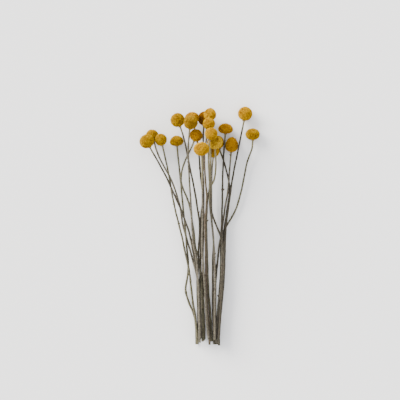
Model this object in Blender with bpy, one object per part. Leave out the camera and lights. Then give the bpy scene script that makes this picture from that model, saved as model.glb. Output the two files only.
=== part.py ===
# A gathered bunch of dried billy buttons, laid down on a flat surface.
#
# Twenty stems run side by side from their cut ends, near -Y, and fan out to a round, golden head each,
# near +Y. Where stems or heads cross, the upper one lies on the lower one, so the heads heap up.
# Lengths here are millimetres. The surface is z = 0, and the origin is the middle of the bunch on it.

import math
from collections import namedtuple
from random import Random

import bmesh
import bpy
import numpy as np
from mathutils import Matrix, Vector

MM = 0.001

# Driving dimensions
STEM_FOOT_RADIUS = 2.0
STEM_NECK_RADIUS = 1.5
STEM_SEGMENTS = 24
STEM_BEVEL_RESOLUTION = 1
BUD_SWELLING = 1.2
BUD_HALF_LENGTH = 3.0
BUDS_PER_STEM = 2
BUD_PLACE = (0.25, 0.75)
CUT_STAGGER = 12.0
STEM_RISE = 1.8
GAP = 0.3
LAYING_GAP = 0.5
HEADS_NESTLE = 0.5
FLORETS_PER_HEAD = 64
TIP_REACH = 1.055
HOLLOW_REACH = 0.965
SEAT_SHARE = 0.93
FLAT_SPOT_DEPTH = 1.7

# Laying rule
ROUTE_STEP = 2.0
CURVE_SAMPLES = 16
HIGHEST_PERCH = 60.0
HALVINGS = 30
STIFFENING_PASSES = 90
STIFF_REACH = 14
LIFTING_PASSES = 12
NECK_LENGTH = 5.0
COLLECTION = "billy_buttons_bunch"
SEED = 20

# Each flower as it lies, seen from above: the middle of its head, the head's width and height, and the
# points that its stem passes, from below the head to the cut end. narrow draws a head in towards its top,
# and dome lowers its widest belt towards a flat underside.
Flower = namedtuple("Flower", "middle size route narrow dome tone")
Flower.__new__.__defaults__ = (0.0, 0.0, "golden")

FLOWERS = {
    1: Flower((-95, 351.5), (26.5, 24.5),
              [(-86.5, 335), (-80, 324), (-67.5, 301.5), (-58.5, 284), (-47, 258.5), (-34.5, 230.5),
               (-24.5, 203.5), (-18, 183.5), (-14, 162.5), (-10.5, 145.5), (-5.5, 111.5), (-2, 84.5),
               (0.5, 45), (1.5, -2)]),
    2: Flower((-86, 362), (22.5, 22.5),
              [(-78, 335.5), (-69, 314.5), (-56.5, 292.5), (-47, 272), (-42.5, 257), (-35.5, 234),
               (-32, 207.5), (-25.5, 182), (-17, 153.5), (-11, 131.5), (-4.5, 107.5), (0.5, 88.5),
               (3, 57.5), (4.5, -2)]),
    3: Flower((-70, 354.5), (21.5, 21.5),
              [(-64.5, 332.5), (-60.5, 314), (-54.5, 284.5), (-50.5, 259), (-44, 227.5), (-38.5, 205),
               (-32, 179), (-26, 149.5), (-20, 123.5), (-16.5, 94.5), (-12.5, 61), (-8, 34), (-4, -2)]),
    4: Flower((-42, 353), (24.5, 18.5),
              [(-40.5, 335.5), (-38, 311.5), (-34, 272), (-30.5, 233), (-26.5, 196), (-24, 163.5),
               (-21, 134), (-22, 112), (-25.5, 93.5), (-25.5, 81), (-20.5, 63.5), (-14, 49),
               (-8.5, 30.5), (-6.5, -2)], dome=0.2),
    5: Flower((-40, 389.5), (25.5, 25),
              [(-31.5, 366.5), (-26, 345), (-20.5, 316.5), (-16, 294.5), (-10, 265.5), (-4.5, 231.5),
               (-0.5, 201), (-1.5, 175.5), (-3, 148), (-4, 114), (-5, 92), (-3, 34), (-2, -2)]),
    6: Flower((-14.5, 393), (26, 22),
              [(-9, 372.5), (-4.5, 349), (-1, 318.5), (1, 289), (5.5, 257.5), (4.5, 239.5),
               (2, 221.5), (1.5, 198), (1.5, 165.5), (0.5, 120.5), (0.5, 66.5), (3.5, 39.5),
               (7, -2)]),
    7: Flower((-16.5, 384.5), (25, 24.5),
              [(-19.5, 362), (-21, 336.5), (-20, 300.5), (-18, 265.5), (-15.5, 225), (-13.5, 188.5),
               (-11, 160), (-6.5, 142), (-3, 93.5), (-1.5, 48.5), (-0.5, -2)], tone="pale"),
    8: Flower((7.5, 393), (23, 25),
              [(6, 367), (5.5, 336.5), (5, 298.5), (6.5, 264.5), (6.5, 223.5), (6, 188.5), (5, 147.5),
               (5, 102.5), (6, 57.5), (8, -2)], tone="brown"),
    9: Flower((18, 400), (22, 22),
              [(16.5, 376), (17.5, 351), (19, 330), (18.5, 300.5), (17, 264.5), (17.5, 241),
               (20.5, 212.5), (23.5, 182), (25.5, 149.5), (27, 111.5), (26.5, 66.5), (26.5, -2)],
              narrow=0.12),
    10: Flower((16, 382.5), (21.5, 21.5),
               [(12, 358), (8.5, 336.5), (8, 315), (9.5, 282.5), (12, 257.5), (11.5, 239.5),
                (9.5, 210.5), (10, 165.5), (11, 102.5), (12.5, 61), (15, 30.5), (17, -2)]),
    11: Flower((20, 364), (22.5, 21.5),
               [(16, 348), (16, 338), (15.5, 326), (15.5, 305), (17.5, 276), (19.5, 245.5), (20.5, 227),
                (26.5, 207.5), (33.5, 191), (38.5, 176.5), (42.5, 156.5), (43, 133), (42, 108),
                (40, 84.5), (37, 48.5), (34, -2)]),
    12: Flower((26.5, 349.5), (27, 24.5),
               [(27, 329.5), (28.5, 313), (27.5, 295), (24, 279.5), (17.5, 268), (14, 252),
                (12, 223.5), (11.5, 201.5), (12.5, 156.5), (15, 84.5), (18.5, 39.5), (21, -2)],
               tone="pale"),
    13: Flower((33.5, 350.5), (19, 23),
               [(36.5, 333), (42, 318.5), (47.5, 299.5), (52.5, 275.5), (52.5, 254), (49.5, 234),
                (46.5, 214), (43, 183.5), (42, 138.5), (40.5, 108), (36.5, 63), (33, 21.5),
                (31.5, -2)], tone="brown"),
    14: Flower((24.5, 333.5), (20.5, 20.5),
               [(23, 317.5), (21.5, 300.5), (20.5, 273.5), (20.5, 246.5), (21, 214), (23.5, 185),
                (24.5, 165.5), (23, 142), (23, 93.5), (23.5, 45), (25, -2)]),
    15: Flower((2.5, 337), (27.5, 23.5),
               [(3.5, 318.5), (4, 286), (4.5, 246.5), (4.5, 210.5), (3.5, 165.5), (5.5, 129.5),
                (8.5, 93.5), (10.5, 57.5), (12, 30.5), (15.5, -2)], tone="bright"),
    16: Flower((-7, 362), (23, 22),
               [(-14.5, 342), (-21, 328.5), (-27.5, 315), (-33, 295), (-33.5, 276.5), (-25, 254.5),
                (-18, 234.5), (-14.5, 210.5), (-11, 188.5), (-8, 159.5), (-3, 144), (0.5, 120.5),
                (3.5, 88), (5.5, 45), (6.5, -2)], tone="brown"),
    17: Flower((46, 375), (26.5, 18.5),
               [(45, 357.5), (43, 336.5), (42, 317.5), (40.5, 286), (40, 245.5), (39, 214),
                (38, 185.5), (34.5, 165.5), (31.5, 136), (28.5, 108), (27.5, 84.5), (27.5, 39.5),
                (29, -2)], dome=0.15, tone="brown"),
    18: Flower((57, 346), (23, 27.5),
               [(54.5, 317.5), (52, 286), (50, 261.5), (46.5, 242.5), (43, 219.5), (40.5, 200),
                (39.5, 174.5), (39.5, 138.5), (38.5, 108), (35, 66.5), (31, 27), (29.5, -2)],
               narrow=0.16, tone="brown"),
    19: Flower((81, 401.5), (25.5, 25),
               [(76.5, 376), (72.5, 358), (68.5, 336.5), (62.5, 308), (57, 277.5), (54, 255),
                (50, 227), (46.5, 198), (45, 171), (44, 129.5), (42, 93.5), (38.5, 56), (34.5, 12.5),
                (33.5, -2)]),
    20: Flower((94.5, 364.5), (25.5, 21),
               [(94.5, 342), (89.5, 329), (83, 308), (78, 281), (71.5, 252.5), (65, 231.5),
                (57, 215), (49, 202.5), (42, 188), (38, 165.5), (37.5, 120.5), (34.5, 72),
                (30.5, 27), (28.5, -2)]),
}

# The order in which the flowers are laid down, the lowest first.
LAYING_ORDER = (20, 13, 14, 8, 6, 2, 4, 18, 17, 19, 16, 5, 3, 1, 9, 12, 7, 10, 11, 15)

# Roughness and base colours of the dried heads and stems
HEAD_TONES = {
    "golden": (0.56, 0.33, 0.035),
    "bright": (0.66, 0.38, 0.03),
    "pale": (0.53, 0.39, 0.10),
    "brown": (0.38, 0.19, 0.03),
}
HEAD_ROUGHNESS = 0.9
STEM_TONES = ((0.20, 0.165, 0.10), (0.15, 0.13, 0.055), (0.27, 0.235, 0.17), (0.13, 0.09, 0.05))
STEM_ROUGHNESS = 0.8

Head = namedtuple("Head", "middle axis half_width half_height")
Stem = namedtuple("Stem", "points radii rings ring_radii")


def smooth_route(points):
    """The points of a curve through the given ones, ROUTE_STEP apart."""
    points = np.array(points, float)
    ends = np.vstack([2 * points[0] - points[1], points, 2 * points[-1] - points[-2]])
    curve = []
    for a, b, c, d in zip(ends, ends[1:], ends[2:], ends[3:]):
        for t in np.linspace(0, 1, CURVE_SAMPLES, endpoint=False):
            curve.append(0.5 * (2 * b + (c - a) * t + (2 * a - 5 * b + 4 * c - d) * t ** 2
                                + (3 * b - a - 3 * c + d) * t ** 3))
    curve.append(points[-1])
    curve = np.array(curve)
    along = np.concatenate([[0], np.cumsum(np.linalg.norm(np.diff(curve, axis=0), axis=1))])
    steps = np.linspace(0, along[-1], int(along[-1] / ROUTE_STEP) + 1)
    return np.column_stack([np.interp(steps, along, curve[:, k]) for k in range(curve.shape[1])])


def cover_of_stem(places, radius, stem):
    """The least height at each place for a stem that lies on another one."""
    reach = radius[:, None] + stem.radii[None, :] + LAYING_GAP
    apart = np.linalg.norm(places[:, None, :] - stem.points[None, :, :2], axis=2)
    near = apart < reach
    height = stem.points[None, :, 2] + np.sqrt(np.where(near, reach ** 2 - apart ** 2, 0))
    return np.where(near, height, -np.inf).max(axis=1)


def cover_of_head(places, radius, head):
    """The least height at each place for a stem that passes over a head."""
    across = places - head.middle[:2]
    axis = head.axis[:2] / np.linalg.norm(head.axis[:2])
    along = across @ axis
    aside = across @ np.array([-axis[1], axis[0]])
    wide = head.half_width + radius + LAYING_GAP
    tall = head.half_height + radius + LAYING_GAP
    inside = 1 - (aside / wide) ** 2 - (along / tall) ** 2
    return np.where(inside > 0, head.middle[2] + wide * np.sqrt(np.maximum(inside, 0)), -np.inf)


def reach_of(head, way):
    """How far a head's surface is from its middle, in a direction."""
    along = way @ head.axis
    aside = math.sqrt(max(0.0, 1 - along ** 2))
    return 1 / math.hypot(along / head.half_height, aside / head.half_width)


def height_on_head(head, lower):
    """The height at which a head lies on one that was laid before it, its florets against the other's."""
    def clear(height):
        way = np.array([*head.middle[:2], height]) - lower.middle
        far = np.linalg.norm(way)
        return far >= reach_of(head, way / far) + reach_of(lower, way / far) - HEADS_NESTLE

    low = lower.middle[2]
    high = low + HIGHEST_PERCH
    if clear(low):
        return -np.inf
    for _ in range(HALVINGS):
        half = (low + high) / 2
        low, high = (low, half) if clear(half) else (half, high)
    return high


def height_on_stem(head, stem):
    """The height at which a head just clears a stem that was laid before it."""
    across = stem.points[:, :2] - head.middle[:2]
    axis = head.axis[:2] / np.linalg.norm(head.axis[:2])
    wide = head.half_width + stem.radii + LAYING_GAP
    tall = head.half_height + stem.radii + LAYING_GAP
    inside = 1 - ((across @ np.array([-axis[1], axis[0]])) / wide) ** 2 - ((across @ axis) / tall) ** 2
    return np.where(inside > 0, stem.points[:, 2] + wide * np.sqrt(np.maximum(inside, 0)), -np.inf).max()


def stiffen(heights, least, held):
    """Smooth a stem's heights as a stiff rod does, without letting it sink into what carries it."""
    reach = np.hanning(2 * STIFF_REACH + 3)[1:-1]
    reach /= reach.sum()
    for _ in range(STIFFENING_PASSES):
        first = 2 * heights[0] - heights[1:STIFF_REACH + 1][::-1]
        last = heights[-STIFF_REACH - 1:-1][::-1]
        smooth = np.convolve(np.concatenate([first, heights, last]), reach, mode="valid")
        smooth[:held] = heights[:held]
        heights = np.maximum(smooth, least)
    return heights


def stations_of(draw, length):
    """Where along a stem its tube has a ring, from 0 at the neck to 1 at the cut, and how it swells there."""
    bud = BUD_HALF_LENGTH / length
    neck = NECK_LENGTH / length
    buds = [(k + draw.uniform(*BUD_PLACE)) / BUDS_PER_STEM for k in range(BUDS_PER_STEM)]
    even = [k / STEM_SEGMENTS for k in range(STEM_SEGMENTS + 1)]
    rings = [(s, 1.0) for s in even if min(abs(s - b) for b in buds) > 2 * bud and not 0 < s < 2 * neck]
    for b in buds:
        rings += [(b - bud, 1.0), (b, BUD_SWELLING), (b + bud, 1.0)]
    rings.append((neck, 1.0))
    return np.array(sorted(rings)).T


def lift_rings(heights, rings, steps, least):
    """Raise a stem's rings until the straight runs between them clear what they lie on."""
    run = np.clip(np.searchsorted(rings, steps), 1, len(rings) - 1)
    for _ in range(LIFTING_PASSES):
        short = np.maximum(0, least - np.interp(steps, rings, heights))
        lift = np.zeros(len(rings))
        np.maximum.at(lift, run, short)
        np.maximum.at(lift, run - 1, short)
        lift[:2] = 0
        heights = heights + lift
    return heights


def lay_head(flower, heads, stems):
    """A head laid as low as it goes on what was laid before it, turned the way its stem comes in."""
    half_width, half_height = (TIP_REACH * side / 2 for side in flower.size)
    middle = np.array(flower.middle, float)
    way = middle - np.array(flower.route[0], float)
    way /= np.linalg.norm(way)
    level = Head(np.array([*middle, half_width - FLAT_SPOT_DEPTH]), np.array([*way, 0]),
                 half_width, half_height)
    height = max([level.middle[2]] + [height_on_head(level, lower) for lower in heads]
                 + [height_on_stem(level, lower) for lower in stems])
    slope = STEM_RISE * (height - STEM_FOOT_RADIUS) / (middle[1] - flower.route[-1][1])
    axis = np.array([*way, slope]) / math.hypot(1, slope)
    return Head(np.array([*middle, height]), axis, half_width, half_height)


def lay_stem(flower, head, draw, heads, stems):
    """A stem from its head's seat to its cut end, laid on what was laid before it."""
    neck = head.middle - head.axis * (head.half_height * SEAT_SHARE + GAP)
    straight = neck - head.axis * NECK_LENGTH
    foot = flower.route[-1]
    cut = (foot[0], foot[1] - CUT_STAGGER * draw.random())
    smooth = smooth_route([tuple(neck[:2]), tuple(straight[:2]), *flower.route, cut])
    steps = np.linspace(0, 1, len(smooth))
    rings, swelling = stations_of(draw, ROUTE_STEP * (len(smooth) - 1))

    # In plan the tube runs straight from ring to ring.
    places = np.column_stack([np.interp(steps, rings, np.interp(rings, steps, smooth[:, k]))
                              for k in range(2)])
    ring_radii = (STEM_NECK_RADIUS + (STEM_FOOT_RADIUS - STEM_NECK_RADIUS) * rings) * swelling
    radii = np.interp(steps, rings, ring_radii)
    least = radii.copy()
    for lower in heads:
        least = np.maximum(least, cover_of_head(places, radii, lower))
    for lower in stems:
        least = np.maximum(least, cover_of_stem(places, radii, lower))
    target = STEM_FOOT_RADIUS + (neck[2] - STEM_FOOT_RADIUS) * (1 - steps) ** STEM_RISE
    held = int(np.searchsorted(steps, rings[1])) + 1
    target[:held] = np.interp(steps[:held], rings[:2], (neck[2], straight[2]))
    least[:held] = -np.inf
    heights = np.interp(rings, steps, stiffen(np.maximum(target, least), least, held))
    heights = lift_rings(heights, rings, steps, least)
    points = np.column_stack([places, np.interp(steps, rings, heights)])
    tube = np.column_stack([np.interp(rings, steps, points[:, k]) for k in range(3)])
    tube[:, 2] = heights
    return Stem(points, radii, tube, ring_radii)


def lay_bunch():
    """Every flower's head and stem, in the laying order."""
    draw = Random(SEED)
    heads, stems = [], []
    for number in LAYING_ORDER:
        head = lay_head(FLOWERS[number], heads, stems)
        stem = lay_stem(FLOWERS[number], head, draw, heads, stems)
        heads.append(head)
        stems.append(stem)
    return dict(zip(LAYING_ORDER, heads)), dict(zip(LAYING_ORDER, stems))


def material(name, colour, roughness):
    """A dull, dry finish of one colour."""
    finish = bpy.data.materials.get(name) or bpy.data.materials.new(name)
    finish.use_nodes = True
    shader = finish.node_tree.nodes["Principled BSDF"]
    shader.inputs["Base Color"].default_value = (*colour, 1)
    shader.inputs["Roughness"].default_value = roughness
    shader.inputs["Metallic"].default_value = 0
    return finish


def floret_points(count):
    """Evenly spread directions over a sphere, with one at each pole of +Y and -Y."""
    turn = math.pi * (3 - math.sqrt(5))
    points = []
    for k in range(count):
        along = 1 - 2 * k / (count - 1)
        aside = math.sqrt(max(0.0, 1 - along * along))
        points.append(Vector((aside * math.cos(k * turn), along, aside * math.sin(k * turn))))
    return points


def shape_head(way, flower, reach):
    """Where the surface of a head is, in a direction: an oval, narrowed to its top or lowered to a dome."""
    half_width, half_height = flower.size[0] / 2, flower.size[1] / 2
    wide = half_width * reach * (1 - flower.narrow * way.y)
    belt = flower.dome * half_height * (1 - way.y ** 2)
    along = max(way.y * half_height * reach - belt, -half_height * TIP_REACH * SEAT_SHARE)
    return Vector((way.x * wide, along, way.z * wide))


def add_head(number, head, collection):
    """A round head, all covered in low florets that stand a little past its even outline."""
    flower = FLOWERS[number]
    name = f"head_{number:02d}"
    mesh = bpy.data.meshes.new(name)
    bm = bmesh.new()
    for point in floret_points(FLORETS_PER_HEAD):
        bm.verts.new(point)
    bmesh.ops.convex_hull(bm, input=bm.verts[:])
    tips = set(bm.verts)
    between = bm.edges[:]
    bmesh.ops.poke(bm, faces=bm.faces[:])
    bmesh.ops.rotate_edges(bm, edges=between)
    roll = Matrix.Rotation(Random(SEED + number).uniform(0, math.tau), 3, "Y")
    turn = Vector((0, 1, 0)).rotation_difference(Vector(head.axis)).to_matrix()
    for vert in bm.verts:
        reach = TIP_REACH if vert in tips else HOLLOW_REACH
        place = turn @ shape_head(roll @ vert.co.normalized(), flower, reach) + Vector(head.middle)
        vert.co = Vector((place.x, place.y, max(0.0, place.z))) * MM
    bmesh.ops.recalc_face_normals(bm, faces=bm.faces[:])
    bm.to_mesh(mesh)
    bm.free()
    mesh.materials.append(material(f"head_{flower.tone}", HEAD_TONES[flower.tone], HEAD_ROUGHNESS))
    collection.objects.link(bpy.data.objects.new(name, mesh))


def add_stem(number, stem, collection):
    """A slim stem with a few small buds, thicker towards its cut end."""
    name = f"stem_{number:02d}"
    curve = bpy.data.curves.new(name, "CURVE")
    curve.dimensions = "3D"
    curve.twist_mode = "Z_UP"
    curve.bevel_depth = MM
    curve.bevel_resolution = STEM_BEVEL_RESOLUTION
    curve.use_fill_caps = True
    spline = curve.splines.new("POLY")
    spline.points.add(len(stem.rings) - 1)
    for point, ring, radius in zip(spline.points, stem.rings, stem.ring_radii):
        point.co = (*(MM * ring), 1)
        point.radius = radius
    tone = number % len(STEM_TONES)
    curve.materials.append(material(f"stem_{tone}", STEM_TONES[tone], STEM_ROUGHNESS))
    collection.objects.link(bpy.data.objects.new(name, curve))


def put_origin_at_middle(collection):
    """Slide the bunch so that the origin is the middle of its box, on the surface."""
    bpy.context.view_layer.update()
    corners = [obj.matrix_world @ Vector(corner) for obj in collection.objects for corner in obj.bound_box]
    low = Vector([min(corner[k] for corner in corners) for k in range(3)])
    high = Vector([max(corner[k] for corner in corners) for k in range(3)])
    middle = (low + high) / 2
    for obj in collection.objects:
        obj.location = (-middle.x, -middle.y, 0)


def build():
    for obj in list(bpy.data.objects):
        bpy.data.objects.remove(obj)
    collection = bpy.data.collections.new(COLLECTION)
    bpy.context.scene.collection.children.link(collection)
    heads, stems = lay_bunch()
    for number in sorted(FLOWERS):
        add_head(number, heads[number], collection)
        add_stem(number, stems[number], collection)
    put_origin_at_middle(collection)


build()
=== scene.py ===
import math
import random

import bmesh
import bpy
import numpy as np
from mathutils import Matrix, Vector
from mathutils.bvhtree import BVHTree


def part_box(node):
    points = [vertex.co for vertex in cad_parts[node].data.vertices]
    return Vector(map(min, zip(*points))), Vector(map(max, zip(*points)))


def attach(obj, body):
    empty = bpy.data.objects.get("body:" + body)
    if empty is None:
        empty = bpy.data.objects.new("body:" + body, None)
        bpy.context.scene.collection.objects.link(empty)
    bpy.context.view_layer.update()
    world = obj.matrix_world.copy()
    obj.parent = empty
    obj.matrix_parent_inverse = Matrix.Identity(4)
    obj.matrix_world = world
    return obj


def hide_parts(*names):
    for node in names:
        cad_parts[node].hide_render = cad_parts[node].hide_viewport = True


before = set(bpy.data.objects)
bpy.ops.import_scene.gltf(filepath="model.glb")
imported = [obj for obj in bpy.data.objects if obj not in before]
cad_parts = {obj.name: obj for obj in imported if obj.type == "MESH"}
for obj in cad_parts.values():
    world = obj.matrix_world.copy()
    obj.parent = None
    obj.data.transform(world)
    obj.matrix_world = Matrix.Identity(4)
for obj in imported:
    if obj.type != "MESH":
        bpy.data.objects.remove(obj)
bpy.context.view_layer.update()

# A gathered bunch of dried billy buttons, laid on a pale floor and seen from straight above.
# Every head and stem takes its place and its outline from its solid in the frame.

mm = 0.001
flowerCount = 20

# the look of each head and stem, by its number; head 8's dark look is a painted shadow
# the pale and brown looks are partly painted light: their own tones, made lighter to lift the shade that
# neighbouring heads cast on them
headLooks = {1: "golden", 2: "golden", 3: "golden", 4: "golden", 5: "golden", 6: "brown", 7: "mustard",
             8: "dark", 9: "bright", 10: "bright", 11: "bright", 12: "pale", 13: "brown", 14: "bright",
             15: "bright", 16: "brown", 17: "brown", 18: "brown", 19: "bright", 20: "golden"}
stemLooksOf = {1: "dark", 2: "grey", 3: "olive", 4: "olive", 5: "dark", 6: "dark", 7: "grey",
               8: "brown", 9: "grey", 10: "brown", 11: "dark", 12: "olive", 13: "dark", 14: "grey",
               15: "grey", 16: "olive", 17: "dark", 18: "grey", 19: "dark", 20: "olive"}
youngLengths = {9: 150 * mm, 11: 90 * mm, 12: 70 * mm, 15: 60 * mm}    # how far from the head a stem is pale
youngLength = 20 * mm    # the same for all other stems
brownHeads = (8, 13, 16, 17, 18)
paleHeads = (7, 12)


def deselectAll():
    bpy.ops.object.select_all(action="DESELECT")


def makeActive(obj):
    deselectAll()
    obj.select_set(True)
    bpy.context.view_layer.objects.active = obj


def removeObject(obj):
    data = obj.data
    bpy.data.objects.remove(obj)
    if isinstance(data, bpy.types.Mesh):
        bpy.data.meshes.remove(data)


# materials

class Shade:
    # a value in a shader, so that sums and products of values are written as such
    def __init__(self, graph, socket):
        self.graph = graph
        self.socket = socket

    def maths(self, operation, other):
        return self.graph.node("ShaderNodeMath", {"operation": operation}, {0: self, 1: other})

    def __add__(self, other):
        return self.maths("ADD", other)

    def __radd__(self, other):
        return self.maths("ADD", other)

    def __mul__(self, other):
        return self.maths("MULTIPLY", other)

    def __rmul__(self, other):
        return self.maths("MULTIPLY", other)


class Graph:
    # a material and the nodes that are added to it
    def __init__(self, name):
        self.material = bpy.data.materials.new(name)
        self.material.use_nodes = True
        self.nodes = self.material.node_tree.nodes
        self.links = self.material.node_tree.links
        self.shader = self.nodes["Principled BSDF"]

    def plug(self, value, socket):
        if isinstance(value, Shade):
            self.links.new(value.socket, socket)
        elif isinstance(value, tuple) and len(value) == 3 and socket.type == "RGBA":
            socket.default_value = (*value, 1)
        else:
            socket.default_value = value

    def node(self, kind, settings=None, inputs=None, output=0):
        made = self.nodes.new(kind)
        for key, value in (settings or {}).items():
            setattr(made, key, value)
        for key, value in (inputs or {}).items():
            self.plug(value, made.inputs[key])
        return Shade(self, made.outputs[output])

    def attribute(self, name, output="Fac"):
        return self.node("ShaderNodeAttribute", {"attribute_name": name}, output=output)

    def noise(self, place, scale, detail=2.0, roughness=0.5):
        return self.node("ShaderNodeTexNoise", {},
                         {"Vector": place, "Scale": scale, "Detail": detail, "Roughness": roughness},
                         output="Fac")

    def blend(self, share, first, second):
        # the Mix node numbers its sockets over all data types: 6 and 7 are its colours, 2 is what comes out
        return self.node("ShaderNodeMix", {"data_type": "RGBA"}, {0: share, 6: first, 7: second}, output=2)

    def spread(self, value, low, high, toLow=0.0, toHigh=1.0):
        return self.node("ShaderNodeMapRange", {},
                         {"Value": value, "From Min": low, "From Max": high,
                          "To Min": toLow, "To Max": toHigh})

    def bump(self, height, distance, strength):
        normal = self.node("ShaderNodeBump", {},
                           {"Height": height, "Distance": distance, "Strength": strength})
        self.plug(normal, self.shader.inputs["Normal"])

    def finish(self, colour, roughness, sheen, gloss):
        # a dull finish; sheen is the soft glow of its fuzz at the edges
        self.plug(colour, self.shader.inputs["Base Color"])
        self.plug(roughness, self.shader.inputs["Roughness"])
        self.shader.inputs["Sheen Weight"].default_value = sheen
        self.shader.inputs["Sheen Roughness"].default_value = 0.5
        self.shader.inputs["Specular IOR Level"].default_value = gloss
        return self.material


# deep is the colour of the darkest florets and of the painted shade down between them
floretLooks = {
    "golden": {"deep": (0.100, 0.034, 0.001), "body": (0.35, 0.181, 0.001), "tip": (0.54, 0.348, 0.002)},
    "bright": {"deep": (0.150, 0.050, 0.001), "body": (0.47, 0.243, 0.001), "tip": (0.60, 0.378, 0.001)},
    # pale: a paler tone, partly painted light that lifts the shadow head 11 casts on head 12
    "pale": {"deep": (0.150, 0.064, 0.001), "body": (0.54, 0.305, 0.006), "tip": (0.76, 0.510, 0.034)},
    "mustard": {"deep": (0.090, 0.036, 0.001), "body": (0.29, 0.150, 0.003), "tip": (0.46, 0.290, 0.014)},
    # brown: a browner tone, made lighter as painted light to lift the shade neighbouring heads cast on these
    # heads
    "brown": {"deep": (0.110, 0.036, 0.001), "body": (0.40, 0.180, 0.001), "tip": (0.62, 0.350, 0.005)},
    # the dark look, for head 8 alone, is a painted shadow: the whole head is coloured as if shaded by its
    # neighbours
    "dark": {"deep": (0.050, 0.015, 0.001), "body": (0.18, 0.060, 0.001), "tip": (0.40, 0.180, 0.004)},
}
floretGrain = {
    "patches": 95,              # noise scales, per metre
    "clumps": 330,
    "fine": 1500,
    "bumps": 2600,
    "ownWeight": 0.55,          # what each adds to the shade
    "patchWeight": 0.9,
    "clumpWeight": 0.7,
    "fineWeight": 0.2,
    "bumpHeight": 0.12 * mm,
    "bumpStrength": 0.6,
    "shadeRange": (0.82, 1.60),
    "rimRange": (0.40, 1.0),    # how high up a floret its rim's colour starts and is full
    "rimShare": (0.35, 1.0),    # how much of it the darkest and the palest florets take
    "gapShadeTop": 0.45,             # below this height painted shade darkens a floret, by the share below
    "gapShadeShare": 0.85,
    "roughness": 0.86,
    "roughnessSpread": 0.1,
    "gloss": 0.05,
}


def floretMaterial(look):
    # each floret has its own shade and is paler at its rim; painted shade darkens it down between it and the
    # next
    graph = Graph(f"florets_{look}")
    colours = floretLooks[look]
    place = graph.node("ShaderNodeTexCoord", output="Object")
    own = graph.attribute("floretShade")
    rise = graph.attribute("floretRise")
    patches = graph.noise(place, floretGrain["patches"], 3)
    clumps = graph.noise(place, floretGrain["clumps"])
    fine = graph.noise(place, floretGrain["fine"])
    coarse = own * floretGrain["ownWeight"] + patches * floretGrain["patchWeight"]
    mixed = coarse + clumps * floretGrain["clumpWeight"] + fine * floretGrain["fineWeight"]
    shade = graph.spread(mixed, *floretGrain["shadeRange"])
    body = graph.blend(shade, colours["deep"], colours["body"])
    high = graph.spread(rise, *floretGrain["rimRange"])
    rim = graph.blend(high * graph.spread(shade, 0, 1, *floretGrain["rimShare"]), body, colours["tip"])
    # painted shade: the low part of each floret, down in the gaps, is blended towards the deep colour
    gapShadeShare = graph.spread(rise, 0, floretGrain["gapShadeTop"], floretGrain["gapShadeShare"], 0)
    colour = graph.blend(gapShadeShare, rim, colours["deep"])
    bumps = graph.noise(place, floretGrain["bumps"])
    graph.bump(bumps, floretGrain["bumpHeight"], floretGrain["bumpStrength"])
    roughness = floretGrain["roughness"] + fine * floretGrain["roughnessSpread"]
    return graph.finish(colour, roughness, 0, floretGrain["gloss"])


stemLooks = {
    "olive": {"dark": (0.004, 0.003, 0.001), "body": (0.034, 0.030, 0.013), "wool": (0.22, 0.200, 0.125)},
    "grey": {"dark": (0.005, 0.004, 0.003), "body": (0.042, 0.035, 0.023), "wool": (0.27, 0.240, 0.18)},
    "brown": {"dark": (0.004, 0.003, 0.001), "body": (0.038, 0.024, 0.014), "wool": (0.23, 0.180, 0.120)},
    "dark": {"dark": (0.005, 0.004, 0.002), "body": (0.022, 0.017, 0.010), "wool": (0.095, 0.082, 0.055)},
}
youngLook = {"body": (0.120, 0.102, 0.045), "wool": (0.36, 0.32, 0.19)}
stemGrain = {
    "streaks": 3.2,            # noise scales along the stem, per streak length
    "tufts": 6.0,
    "bumps": 14.0,
    "blotches": 60,            # noise scales through it, per metre
    "mottle": 330,
    "bumpHeight": 0.10 * mm,
    "bumpStrength": 0.7,
    "bodyWeights": (0.5, 0.4, 0.7),      # of the streaks, the blotches and the mottle
    "bodyRange": (0.62, 0.98),
    "woolWeights": (0.25, 0.9, 0.45),    # of the crests, the tufts and the mottle
    "woolRange": (0.72, 1.08),
    "roughness": 0.72,
    "roughnessSpread": 0.2,
    "sheen": 0.08,
    "gloss": 0.2,
}


def stemMaterial(look):
    # long streaks run with the ridges, and thin grey wool catches on their crests
    graph = Graph(f"stem_{look}")
    colours = stemLooks[look]
    place = graph.attribute("stemPlace", output="Vector")
    crest = graph.attribute("stemCrest")
    streaks = graph.noise(place, stemGrain["streaks"], 4, 0.62)
    through = graph.node("ShaderNodeTexCoord", output="Object")
    blotches = graph.noise(through, stemGrain["blotches"], 3)
    mottle = graph.noise(through, stemGrain["mottle"], 3, 0.6)
    first, second, third = stemGrain["bodyWeights"]
    mixed = streaks * first + blotches * second + mottle * third
    body = graph.blend(graph.spread(mixed, *stemGrain["bodyRange"]), colours["dark"], colours["body"])
    tufts = graph.noise(place, stemGrain["tufts"], 4, 0.7)
    first, second, third = stemGrain["woolWeights"]
    wool = graph.spread(crest * first + tufts * second + mottle * third, *stemGrain["woolRange"])
    aged = graph.blend(wool, body, colours["wool"])
    young = graph.blend(wool, youngLook["body"], youngLook["wool"])
    colour = graph.blend(graph.attribute("stemYoung"), aged, young)
    bumps = graph.noise(place, stemGrain["bumps"], 3, 0.7)
    graph.bump(bumps, stemGrain["bumpHeight"], stemGrain["bumpStrength"])
    roughness = stemGrain["roughness"] + streaks * stemGrain["roughnessSpread"]
    return graph.finish(colour, roughness, stemGrain["sheen"], stemGrain["gloss"])


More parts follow.
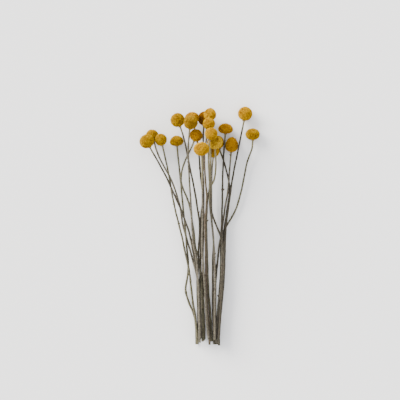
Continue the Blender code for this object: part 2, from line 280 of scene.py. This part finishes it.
dryLooks = {
    "pith": {"name": "cut_pith", "dark": (0.20, 0.15, 0.08), "pale": (0.52, 0.44, 0.29), "scale": 900},
    "scar": {"name": "leaf_scar", "dark": (0.020, 0.014, 0.008), "pale": (0.10, 0.075, 0.045), "scale": 1200},
    "bract": {"name": "papery_bract", "dark": (0.16, 0.09, 0.03), "pale": (0.42, 0.31, 0.15), "scale": 700},
    "down": {"name": "stem_down", "dark": (0.035, 0.031, 0.022), "pale": (0.22, 0.20, 0.150), "scale": 250},
}
dryGrain = {
    "range": (0.3, 0.7),
    "bumpHeight": 0.15 * mm,
    "bumpStrength": 0.6,
    "roughness": 0.8,
    "roughnessSpread": 0.1,
    "gloss": 0.15,
}


def dryMaterial(look):
    # two tones of the same colour in an even grain
    colours = dryLooks[look]
    graph = Graph(colours["name"])
    place = graph.node("ShaderNodeTexCoord", output="Object")
    grain = graph.noise(place, colours["scale"], 3, 0.6)
    graph.bump(grain, dryGrain["bumpHeight"], dryGrain["bumpStrength"])
    colour = graph.blend(graph.spread(grain, *dryGrain["range"]), colours["dark"], colours["pale"])
    roughness = dryGrain["roughness"] + grain * dryGrain["roughnessSpread"]
    return graph.finish(colour, roughness, 0, dryGrain["gloss"])


# the florets of a head

floret = {
    "perHead": 560,
    "sides": 6,
    "core": 0.8,            # how deep the core lies under the tips, in floret heights
    "root": 0.62,           # widths and heights as shares of the space between two florets
    "belt": 1.02,
    "rim": 0.74,
    "mouth": 0.36,
    "height": 0.95,
    "dimple": 0.084,
    "sink": (-1, 0.35),     # how far a floret sinks in or stands out, in steps
    "sinkStep": 0.14,
    "tilt": 0.08,
    "sizeSpread": 0.12,
    "coreShade": 0.2,       # the tone of the core between the florets, of 0 to 1, kept low as painted shade down in the gaps
    "mouthRise": 0.12,      # the mouth counts as this high, of 0 to 1, so that painted shade darkens it
    "seed": 100,
    "balls": 3,
    "fit": 1.03,            # the tips stand this far out from the solid's outline
    "smoothAngle": 50,
}


def selectFaces(obj, test):
    edit = bmesh.from_edit_mesh(obj.data)
    for face in edit.faces:
        face.select = test(face)
    edit.select_flush_mode()
    bmesh.update_edit_mesh(obj.data)


def modelFloret():
    # a short tube that swells, closes to a rim and sinks into its mouth; its foot is down in the core
    half = floret["height"] / 2
    bpy.ops.mesh.primitive_cone_add(vertices=floret["sides"], radius1=floret["root"] / 2,
                                    radius2=floret["belt"] / 2, depth=half, end_fill_type="NGON")
    bud = bpy.context.object
    bpy.ops.object.mode_set(mode="EDIT")
    bpy.ops.mesh.select_mode(type="FACE")
    selectFaces(bud, lambda face: face.normal.z > 0.9)
    shrink = floret["rim"] / floret["belt"]
    bpy.ops.mesh.extrude_region_move(TRANSFORM_OT_translate={"value": (0, 0, half)})
    bpy.ops.transform.resize(value=(shrink, shrink, 1))
    bpy.ops.mesh.extrude_region_move(TRANSFORM_OT_translate={"value": (0, 0, -floret["dimple"])})
    inner = floret["mouth"] / floret["rim"]
    bpy.ops.transform.resize(value=(inner, inner, 1))
    bpy.ops.mesh.poke(offset=0)
    bpy.ops.object.mode_set(mode="OBJECT")
    bud.data.update()
    return bud


def spiralWays(count):
    turn = math.pi * (3 - math.sqrt(5))
    ways = []
    for k in range(count):
        up = 1 - 2 * (k + 0.5) / count
        out = math.sqrt(1 - up * up)
        ways.append(Vector((out * math.cos(k * turn), out * math.sin(k * turn), up)))
    return ways


def modelBall(seed, bud):
    # a head of radius 1 about the origin, its top at +Z: a core with florets standing out all over
    draw = random.Random(seed)
    count = floret["perHead"]
    space = math.sqrt(4 * math.pi / count)
    tall = space * floret["height"]
    budPoints = np.array([tuple(v.co) for v in bud.data.vertices])
    budFaces = [tuple(face.vertices) for face in bud.data.polygons]
    top = budPoints[:, 2].max()
    aside = np.hypot(budPoints[:, 0], budPoints[:, 1])
    mouth = (aside < floret["mouth"] * 0.55) & (budPoints[:, 2] > top * 0.6)    # its ring and its middle
    bpy.ops.mesh.primitive_ico_sphere_add(subdivisions=4, radius=1 - tall * floret["core"])
    ball = bpy.context.object
    points = [np.array([tuple(v.co) for v in ball.data.vertices])]
    faces = [tuple(face.vertices) for face in ball.data.polygons]
    # the core takes a low tone and no rise: painted shade, dark down between the florets
    shades = [np.full(len(points[0]), floret["coreShade"])]
    rises = [np.zeros(len(points[0]))]
    for way in spiralWays(count):
        size = space * (1 + floret["sizeSpread"] * draw.uniform(-1, 1))
        lean = Vector((draw.gauss(0, 1), draw.gauss(0, 1), draw.gauss(0, 1))) * floret["tilt"]
        turn = (way + lean).to_track_quat("Z", "Y").to_matrix()
        turn = np.array(turn @ Matrix.Rotation(draw.uniform(0, math.tau), 3, "Z"))
        reach = 1 - tall + space * floret["sinkStep"] * draw.uniform(*floret["sink"])
        start = sum(len(p) for p in points)
        points.append(budPoints * size @ turn.T + np.array(way) * reach)
        faces += [tuple(start + k for k in face) for face in budFaces]
        shades.append(np.full(len(budPoints), draw.random()))
        rises.append(np.where(mouth, floret["mouthRise"], budPoints[:, 2] / top))
    mesh = bpy.data.meshes.new(f"ball_{seed}")
    mesh.from_pydata(np.concatenate(points).tolist(), [], faces)
    for name, values in (("floretShade", shades), ("floretRise", rises)):
        layer = mesh.attributes.new(name, "FLOAT", "POINT")
        layer.data.foreach_set("value", np.concatenate(values).astype(np.float32))
    removeObject(ball)
    return mesh


solid = {"weld": 0.002 * mm, "ringPoints": 6}    # how the solids in the frame are read


def mergedCopy(node):
    # the solid's loose triangles, joined where they meet
    shape = bmesh.new()
    shape.from_mesh(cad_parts[node].data)
    bmesh.ops.remove_doubles(shape, verts=shape.verts, dist=solid["weld"])
    return shape


def stemRings(number):
    # the middle and the radius of each ring of a stem's tube, from the neck to the cut end
    low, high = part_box(f"head_{number:02d}")
    headMiddle = (low + high) / 2
    tube = mergedCopy(f"stem_{number:02d}")
    near = sorted(tube.verts, key=lambda v: (v.co - headMiddle).length)
    ring = set(near[:solid["ringPoints"]])
    seen = set()
    rings = []
    while ring:
        middle = sum((v.co for v in ring), Vector()) / len(ring)
        radius = sum((v.co - middle).length for v in ring) / len(ring)
        rings.append((middle, radius))
        seen |= ring
        ring = {edge.other_vert(v) for v in ring for edge in v.link_edges} - seen
    tube.free()
    return rings


def makeHead(number, balls, rings):
    # a floret ball drawn out to the solid's own outline
    draw = random.Random(floret["seed"] + number)
    hull = mergedCopy(f"head_{number:02d}")
    made = bmesh.ops.convex_hull(hull, input=hull.verts)
    spare = [g for g in made["geom_interior"] + made["geom_unused"] if isinstance(g, bmesh.types.BMVert)]
    bmesh.ops.delete(hull, geom=spare, context="VERTS")
    bmesh.ops.triangulate(hull, faces=hull.faces)
    tree = BVHTree.FromBMesh(hull)
    middle = sum((v.co for v in hull.verts), Vector()) / len(hull.verts)
    hull.free()
    axis = (middle - rings[0][0]).normalized()
    mesh = balls[number % len(balls)].copy()
    mesh.name = f"florets_{number:02d}"
    turn = axis.to_track_quat("Z", "Y").to_matrix() @ Matrix.Rotation(draw.uniform(0, math.tau), 3, "Z")
    for vert in mesh.vertices:
        far = vert.co.length
        way = turn @ (vert.co / far)
        outer = tree.ray_cast(middle, way)[3]
        vert.co = middle + way * (outer * far * floret["fit"])
        vert.co.z = max(vert.co.z, 0.0)
    piece = bpy.data.objects.new(f"florets_{number:02d}", mesh)
    bpy.context.scene.collection.objects.link(piece)
    mesh.materials.append(materials[headLooks[number]])
    makeActive(piece)
    bpy.ops.object.shade_smooth_by_angle(angle=math.radians(floret["smoothAngle"]))
    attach(piece, "root")
    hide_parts(f"head_{number:02d}")
    tone = "brown" if number in brownHeads else "pale" if number in paleHeads else "golden"


# the stems

stem = {
    "ridges": 9,
    "ridgeDepth": 0.11,
    "crest": 1.04,              # how far the ridges' crests stand out, as a share of the solid's radius
    "step": 3.0 * mm,
    "intoHead": 1.2 * mm,
    "wander": 0.10 * mm,        # how far the line sways to each side
    "wanderPace": 190,          # radians a metre
    "swell": 0.04,              # how much the radius comes and goes
    "swellPace": 310,
    "streakLength": 14 * mm,    # the streaks are drawn out to this length
    "streakShift": 7.3,         # and start elsewhere on each stem
    "youngStart": 1.3,          # the pale end counts as more than young, so that it fades later
    "smoothAngle": 60,
    "seed": 300,
}


def modelProfile():
    # the ridged outline of a stem: a circle whose every other point is drawn in
    bpy.ops.mesh.primitive_circle_add(vertices=2 * stem["ridges"], radius=1)
    outline = bpy.context.object
    for k, vert in enumerate(outline.data.vertices):
        if k % 2:
            vert.co *= 1 - stem["ridgeDepth"]
    makeActive(outline)
    bpy.ops.object.convert(target="CURVE")
    outline = bpy.context.object
    outline.name = "stem_profile"
    return outline


def catmullRom(points, step):
    # a smooth line through the points, with stations a step apart
    points = np.array(points)
    ends = np.vstack([2 * points[0] - points[1], points, 2 * points[-1] - points[-2]])
    line = []
    for a, b, c, d in zip(ends, ends[1:], ends[2:], ends[3:]):
        pieces = max(2, int(np.linalg.norm((c - b)[:3]) / step * 2))
        for t in np.linspace(0, 1, pieces, endpoint=False):
            line.append(0.5 * (2 * b + (c - a) * t + (2 * a - 5 * b + 4 * c - d) * t ** 2
                               + (3 * b - a - 3 * c + d) * t ** 3))
    line.append(points[-1])
    line = np.array(line)
    far = np.concatenate([[0], np.cumsum(np.linalg.norm(np.diff(line[:, :3], axis=0), axis=1))])
    stations = np.linspace(0, far[-1], int(far[-1] / step) + 1)
    return np.column_stack([np.interp(stations, far, line[:, k]) for k in range(4)]), stations


def makeStem(number, profile, parts, rings):
    draw = random.Random(stem["seed"] + number)
    line = [(*middle, radius) for middle, radius in rings]
    way = (rings[0][0] - rings[1][0]).normalized()
    line[0] = (*(rings[0][0] + way * stem["intoHead"]), rings[0][1])
    line, stations = catmullRom(line, stem["step"])
    bpy.ops.curve.primitive_bezier_curve_add()
    piece = bpy.context.object
    piece.name = f"stalk_{number:02d}"
    curve = piece.data
    curve.splines.clear()
    curve.dimensions = "3D"
    curve.twist_mode = "MINIMUM"
    curve.bevel_mode = "OBJECT"
    curve.bevel_object = profile
    curve.use_fill_caps = True
    spline = curve.splines.new("POLY")
    spline.points.add(len(line) - 1)
    phase = draw.uniform(0, math.tau)
    for k, point in enumerate(spline.points):
        sway = stem["wander"] * math.sin(phase + stations[k] * stem["wanderPace"])
        swell = 1 + stem["swell"] * math.sin(phase + stations[k] * stem["swellPace"])
        point.co = (line[k][0] + sway, line[k][1], line[k][2], 1)
        point.radius = line[k][3] * stem["crest"] * swell
    makeActive(piece)
    bpy.ops.object.convert(target="MESH")
    piece = bpy.context.object
    mesh = piece.data
    sides = 2 * stem["ridges"]
    around = np.arange(len(mesh.vertices)) % sides
    along = stations[np.minimum(np.arange(len(mesh.vertices)) // sides, len(stations) - 1)]
    angle = around * math.tau / sides
    place = np.column_stack([np.cos(angle), np.sin(angle), along / stem["streakLength"]]).astype(np.float32)
    place[:, 2] += stem["streakShift"] * number
    mesh.attributes.new("stemPlace", "FLOAT_VECTOR", "POINT").data.foreach_set("vector", place.ravel())
    paleUntil = youngLengths.get(number, youngLength)
    young = np.clip(stem["youngStart"] - along / paleUntil, 0, 1).astype(np.float32)
    mesh.attributes.new("stemYoung", "FLOAT", "POINT").data.foreach_set("value", young)
    crest = (around % 2 == 0).astype(np.float32)
    mesh.attributes.new("stemCrest", "FLOAT", "POINT").data.foreach_set("value", crest)
    mesh.materials.clear()
    for key in ("stem_" + stemLooksOf[number], "pith"):
        mesh.materials.append(materials[key])
    for face in mesh.polygons:
        face.material_index = 1 if len(face.vertices) > 4 else 0
    extras = addScars(number, parts["scar"], line, draw) + addBracts(parts["bract"], line, draw)
    extras.append(addDown(mesh, parts["hair"], line, draw))
    deselectAll()
    for extra in extras + [piece]:
        extra.select_set(True)
    bpy.context.view_layer.objects.active = piece
    bpy.ops.object.join()
    makeActive(piece)
    bpy.ops.object.shade_smooth_by_angle(angle=math.radians(stem["smoothAngle"]))
    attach(piece, "root")
    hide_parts(f"stem_{number:02d}")


def placeCopy(source, place, turn, size, finish):
    copy = bpy.data.objects.new(source.name, source.data.copy())
    bpy.context.scene.collection.objects.link(copy)
    copy.data.transform(Matrix.Translation(place) @ turn.to_matrix().to_4x4() @ Matrix.Scale(size, 4))
    copy.data.materials.append(materials[finish])
    return copy


scar = {
    "perStem": 7,
    "foot": 0.62,           # its radii and its length, as shares of the stem's radius
    "tip": 0.16,
    "length": 1.5,
    "size": (0.7, 0.95),    # a bud is larger than 1
    "flatness": 0.62,
    "roundness": 0.6,
    "depth": 0.6,           # how far out the scar's middle is
    "lean": 1.1,            # how much a scar leans up the stem
    "budLean": 0.35,        # a bud stands out more
    "budLift": 0.25,
    "span": (0.04, 0.94),   # the share of the length that has scars
    "strewn": (0.2, 0.8),   # where in its own stretch of the stem a scar is
    "turn": 2.4,            # radians from one scar to the next
}

# larger buds and stubs that show in the photo: stem, place along the bunch in mm, side, size
seenBuds = [
    (3, 38.3, -1, 1.7), (3, 4.5, 1, 2.0), (5, 23.0, 1, 2.0), (7, 114.2, -1, 1.8),
    (17, 65.3, 1, 2.1), (18, 128.2, -1, 2.0), (9, -49.5, 1, 1.7), (9, -55.2, 1, 1.6),
    (20, -125.4, -1, 2.2), (16, -62.4, 1, 2.6), (12, 8.5, 1, 2.4),
]


def modelScar():
    # a small blunt scale that leans along the stem
    bpy.ops.mesh.primitive_cone_add(vertices=6, radius1=scar["foot"], radius2=scar["tip"],
                                    depth=scar["length"], end_fill_type="TRIFAN")
    scale = bpy.context.object
    bpy.ops.object.mode_set(mode="EDIT")
    bpy.ops.mesh.select_all(action="SELECT")
    bpy.ops.transform.resize(value=(1, scar["flatness"], 1))
    bpy.ops.mesh.subdivide(number_cuts=1, smoothness=scar["roundness"])
    bpy.ops.object.mode_set(mode="OBJECT")
    return scale


def addScars(number, model, line, draw):
    # leaf scars sit in a loose spiral up the stem, and the larger buds where the photo shows them
    first, last = scar["span"]
    copies = []
    turn = draw.uniform(0, math.tau)
    marks = []
    for k in range(scar["perStem"]):
        share = (k + draw.uniform(*scar["strewn"])) / scar["perStem"]
        turn += scar["turn"]
        at = int((first + (last - first) * share) * (len(line) - 2)) + 1
        marks.append((at, None, draw.uniform(*scar["size"])))
    for owner, y, side, size in seenBuds:
        if owner == number:
            at = int(np.argmin(np.abs(line[:, 1] - y * mm)))
            marks.append((at, Vector((side, 0, scar["budLift"])), size))
    for at, side, size in marks:
        way = (Vector(line[at - 1][:3]) - Vector(line[at + 1][:3])).normalized()
        if side is None:
            turn += scar["turn"]
            side = way.orthogonal()
            side.rotate(Matrix.Rotation(turn, 3, way))
        side = (side - way * side.dot(way)).normalized()
        radius = line[at][3]
        lean = (way * (scar["lean"] if size < 1 else scar["budLean"]) + side).normalized()
        place = Vector(line[at][:3]) + side * radius * scar["depth"]
        copies.append(placeCopy(model, place, lean.to_track_quat("Z", "Y"), radius * size, "scar"))
    return copies


bract = {
    "perHead": 8,
    "shape": (0.5, 1.05, 0.16),   # half its width, length and thickness, in radii of the stem
    "size": (0.8, 1.1),
    "back": 0.4 * mm,             # the bracts start this far below the neck
    "out": 1.25,                  # and this far from the stem's middle, in its radii
    "lean": 0.15,
    "strewn": 0.2,
}


def modelBract():
    # one papery scale: a flat oval with its two points along Y
    bpy.ops.mesh.primitive_uv_sphere_add(segments=6, ring_count=5, radius=1)
    scale = bpy.context.object
    bpy.ops.object.mode_set(mode="EDIT")
    bpy.ops.mesh.select_all(action="SELECT")
    bpy.ops.transform.rotate(value=math.radians(90), orient_axis="X", center_override=(0, 0, 0))
    bpy.ops.transform.resize(value=bract["shape"], center_override=(0, 0, 0))
    bpy.ops.object.mode_set(mode="OBJECT")
    return scale


def addBracts(model, line, draw):
    # small papery scales press up against the underside of the head
    copies = []
    way = (Vector(line[0][:3]) - Vector(line[3][:3])).normalized()
    neck = Vector(line[0][:3]) - way * stem["intoHead"]
    radius = line[0][3]
    for k in range(bract["perHead"]):
        share = (k + draw.uniform(-bract["strewn"], bract["strewn"])) / bract["perHead"]
        side = way.orthogonal().normalized()
        side.rotate(Matrix.Rotation(share * math.tau, 3, way))
        lean = (side + way * bract["lean"]).normalized()
        place = neck - way * bract["back"] + side * radius * bract["out"]
        size = radius * draw.uniform(*bract["size"])
        copies.append(placeCopy(model, place, lean.to_track_quat("Y", "Z"), size, "bract"))
    return copies


down = {
    "perStem": 1300,
    "length": (0.5 * mm, 1.1 * mm),
    "thickness": 0.045,      # the radius of a hair's root, as a share of its length
    "lean": (0.18, 1.44),    # how much a hair leans up the stem
}


def modelHair():
    # one hair a unit long: a thin spike of three sides
    bpy.ops.mesh.primitive_cone_add(vertices=3, radius1=down["thickness"], radius2=0, depth=1,
                                    end_fill_type="NGON")
    hair = bpy.context.object
    hair.data.transform(Matrix.Translation((0, 0, 0.5)))
    return hair


def addDown(mesh, hair, line, draw):
    # fine grey down, combed up the stem
    hairPoints = np.array([tuple(v.co) for v in hair.data.vertices])
    hairFaces = np.array([tuple(face.vertices) for face in hair.data.polygons])
    sides = 2 * stem["ridges"]
    count = down["perStem"]
    points = []
    for _ in range(count):
        k = draw.randrange(1, len(line) - 2)
        middle = Vector(line[k][:3])
        root = mesh.vertices[k * sides + draw.randrange(sides)].co
        way = (Vector(line[k - 1][:3]) - middle).normalized()
        root = root - way * (draw.random() * stem["step"])
        out = root - middle
        out = (out - way * out.dot(way)).normalized()
        lean = (out + way * draw.uniform(*down["lean"])).normalized()
        turn = np.array(lean.to_track_quat("Z", "Y").to_matrix())
        points.append(hairPoints * draw.uniform(*down["length"]) @ turn.T + np.array(root))
    faces = (hairFaces[None] + len(hairPoints) * np.arange(count)[:, None, None]).reshape(-1, 3)
    fuzz = bpy.data.meshes.new("down")
    fuzz.from_pydata(np.concatenate(points).tolist(), [], faces.tolist())
    fuzz.materials.append(materials["down"])
    piece = bpy.data.objects.new("down", fuzz)
    bpy.context.scene.collection.objects.link(piece)
    return piece


# the floor, the light and the camera

studio = {
    "photoCentre": (0.285 * mm, 46.35 * mm),   # where the middle of the photo falls on the floor
    "photoWidth": 720 * mm,
    "cameraHeight": 4.0,
    "sensor": 36.0,
    "cameraSees": 50,
    "floorSize": 8.0,
    "floorDrop": 0.2 * mm,     # the floor lies this far below the bunch
    "floorColour": (0.89, 0.895, 0.915),
    "floorRoughness": 0.9,
    "floorGloss": 0.1,
    "keyStrength": 11.5,
    "keyAngle": 46.0,          # the width of the light, in degrees
    "keyFrom": (-0.72, 0.60, 0.33),
    "keyColour": (1, 0.955, 0.87),
    "worldStrength": 1.80,
}


def makeStudio():
    x, y = studio["photoCentre"]
    bpy.ops.mesh.primitive_plane_add(size=studio["floorSize"], location=(x, y, -studio["floorDrop"]))
    floor = bpy.context.object
    floor.name = "floor"
    paper = Graph("floor_paper")
    plain = paper.finish(studio["floorColour"], studio["floorRoughness"], 0, studio["floorGloss"])
    floor.data.materials.append(plain)
    world = bpy.data.worlds.new("studio")
    bpy.context.scene.world = world
    world.use_nodes = True
    sky = world.node_tree.nodes["Background"]
    sky.inputs["Color"].default_value = (1, 1, 1, 1)
    sky.inputs["Strength"].default_value = studio["worldStrength"]
    bpy.ops.object.light_add(type="SUN", location=(-1, 1, 1))    # only the way that a sun faces counts
    lamp = bpy.context.object
    lamp.name = "key"
    lamp.data.energy = studio["keyStrength"]
    lamp.data.angle = math.radians(studio["keyAngle"])
    lamp.data.color = studio["keyColour"]
    lamp.rotation_euler = Vector(studio["keyFrom"]).to_track_quat("Z", "Y").to_euler()
    bpy.ops.object.camera_add(location=(x, y, studio["cameraHeight"]), rotation=(0, 0, 0))
    camera = bpy.context.object
    camera.data.sensor_width = studio["sensor"]
    camera.data.lens = studio["sensor"] * studio["cameraHeight"] / studio["photoWidth"]
    camera.data.clip_end = studio["cameraSees"]
    bpy.context.scene.camera = camera


deselectAll()
makeStudio()
print("studio ready")
materials = {look: floretMaterial(look) for look in floretLooks}
for look in stemLooks:
    materials["stem_" + look] = stemMaterial(look)
for look in dryLooks:
    materials[look] = dryMaterial(look)
print("materials ready")

rings = {number: stemRings(number) for number in range(1, flowerCount + 1)}
print("stem lines read:", sorted({len(r) for r in rings.values()}))

bud = modelFloret()
balls = [modelBall(seed, bud) for seed in range(floret["balls"])]
for number in rings:
    makeHead(number, balls, rings[number])
removeObject(bud)
for ball in balls:
    bpy.data.meshes.remove(ball)
print("heads ready")

profile = modelProfile()
parts = {"scar": modelScar(), "bract": modelBract(), "hair": modelHair()}
for number in rings:
    makeStem(number, profile, parts, rings[number])
bpy.data.objects.remove(profile)
for part in parts.values():
    removeObject(part)
print("stems ready")

deselectAll()
